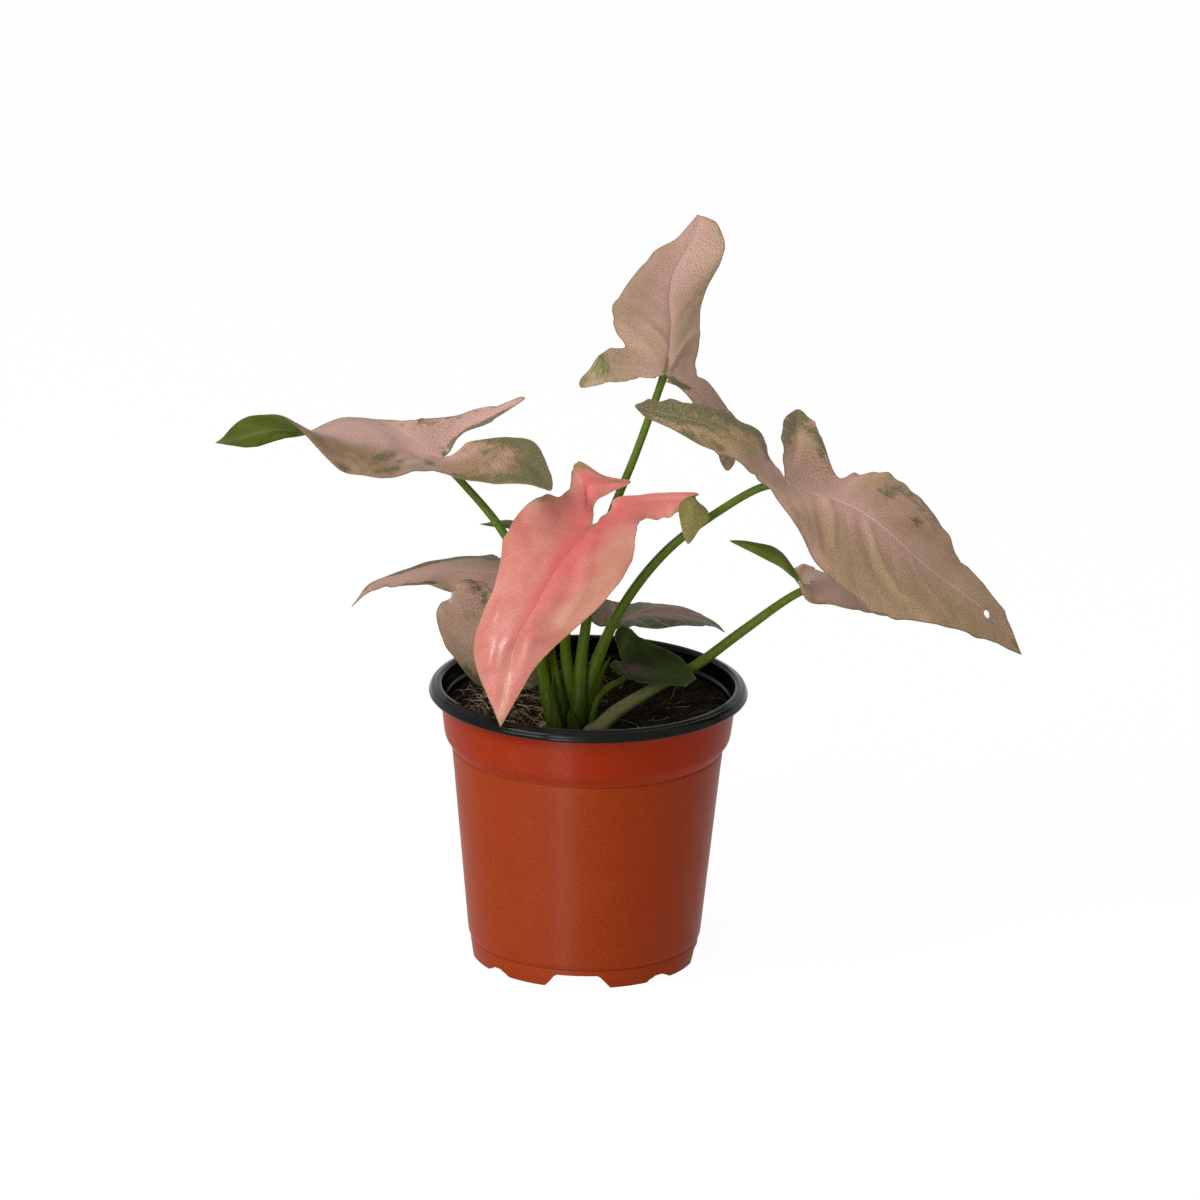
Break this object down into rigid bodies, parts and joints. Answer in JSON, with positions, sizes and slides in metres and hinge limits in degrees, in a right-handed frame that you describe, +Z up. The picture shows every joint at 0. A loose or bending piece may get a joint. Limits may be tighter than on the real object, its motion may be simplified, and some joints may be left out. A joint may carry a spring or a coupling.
{
  "type": "potted house plant",
  "caption": "Potted arrowhead plant: two-tone nursery pot with a rolled lip and a notched foot, filled with potting mix, and pink arrowhead leaves on green stalks.",
  "frame": {"origin": "middle of the underside of the whole plant's bounding box, on the surface the pot stands on; the pot's axis is 10.3 mm to its left", "axes": "+X to the viewer's right from the front, +Y to the back, +Z up"},
  "size_m": [0.2719, 0.108, 0.2487],
  "materials": {
    "terracotta_plastic": "satin terracotta plastic outside, black inside and on the lip",
    "potting_mix": "dark peat and coir mix with pale fibres",
    "crown_fibre": "brown fibrous stem",
    "leaf_rose_brown": "satin rose-brown leaf with a pink rib and green mottling at the edge, green underneath",
    "leaf_salmon_pink": "satin salmon-pink leaf with a deeper pink rib",
    "leaf_dark_green": "satin dark green leaf with pinkish veins",
    "stalk_green": "smooth fresh green stalk, darker near the mix"
  },
  "bodies": {
    "root": {"pot": "terracotta_plastic", "potting_mix": "potting_mix", "crown": "crown_fibre", "top_leaf_blade": "leaf_rose_brown", "top_leaf_petiole": "stalk_green", "left_leaf_blade": "leaf_rose_brown", "left_leaf_petiole": "stalk_green", "front_leaf_blade": "leaf_salmon_pink", "front_leaf_petiole": "stalk_green", "right_leaf_blade": "leaf_rose_brown", "right_leaf_petiole": "stalk_green", "lower_right_leaf_blade": "leaf_rose_brown", "lower_right_leaf_petiole": "stalk_green", "lower_left_leaf_blade": "leaf_rose_brown", "lower_left_leaf_petiole": "stalk_green", "drooping_leaf_blade": "leaf_rose_brown", "drooping_leaf_petiole": "stalk_green", "back_leaf_blade": "leaf_dark_green", "back_leaf_petiole": "stalk_green", "small_leaf_blade": "leaf_dark_green", "small_leaf_petiole": "stalk_green", "young_leaf_blade": "leaf_dark_green", "young_leaf_petiole": "stalk_green"}
  },
  "joints": []
}
